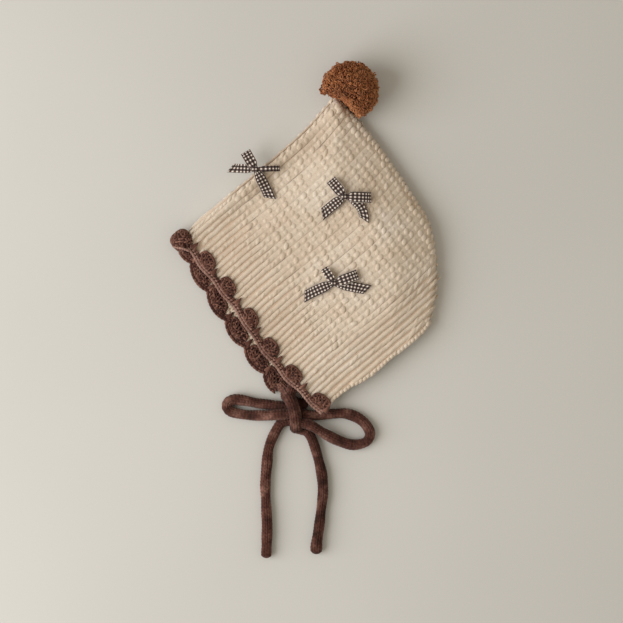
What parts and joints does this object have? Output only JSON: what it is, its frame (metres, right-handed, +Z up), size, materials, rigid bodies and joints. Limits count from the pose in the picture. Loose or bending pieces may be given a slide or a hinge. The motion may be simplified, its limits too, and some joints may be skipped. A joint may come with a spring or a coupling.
{
  "type": "baby bonnet",
  "caption": "Knitted pixie bonnet for a baby, lying folded flat, with crocheted face trim, pompom, gingham bows and knitted ties in a bow.",
  "frame": {"origin": "on the surface that the bonnet lies on, below the middle of the bonnet's box without its ties", "axes": "+Z up from the surface; +Y from the tied ends towards the pompom; +X to the right of the picture"},
  "size_m": [0.2068, 0.3883, 0.04],
  "materials": {
    "cream_knit": "soft fuzzy wool knit",
    "brown_yarn": "cotton yarn, crocheted and knitted",
    "pompom_yarn": "looped wool pile",
    "gingham_ribbon": "woven cotton check"
  },
  "bodies": {
    "root": {"bonnet_knit": "cream_knit", "face_trim_upper": "brown_yarn", "face_trim_lower": "brown_yarn", "pompom": "pompom_yarn", "gingham_bow_crown": "gingham_ribbon", "gingham_bow_middle": "gingham_ribbon", "gingham_bow_side": "gingham_ribbon", "tie_knot": "brown_yarn", "tie_from_lower_layer": "brown_yarn", "tie_from_upper_layer": "brown_yarn", "tie_loop_left": "brown_yarn", "tie_loop_right": "brown_yarn", "tie_tail_left": "brown_yarn", "tie_tail_right": "brown_yarn"}
  },
  "joints": []
}
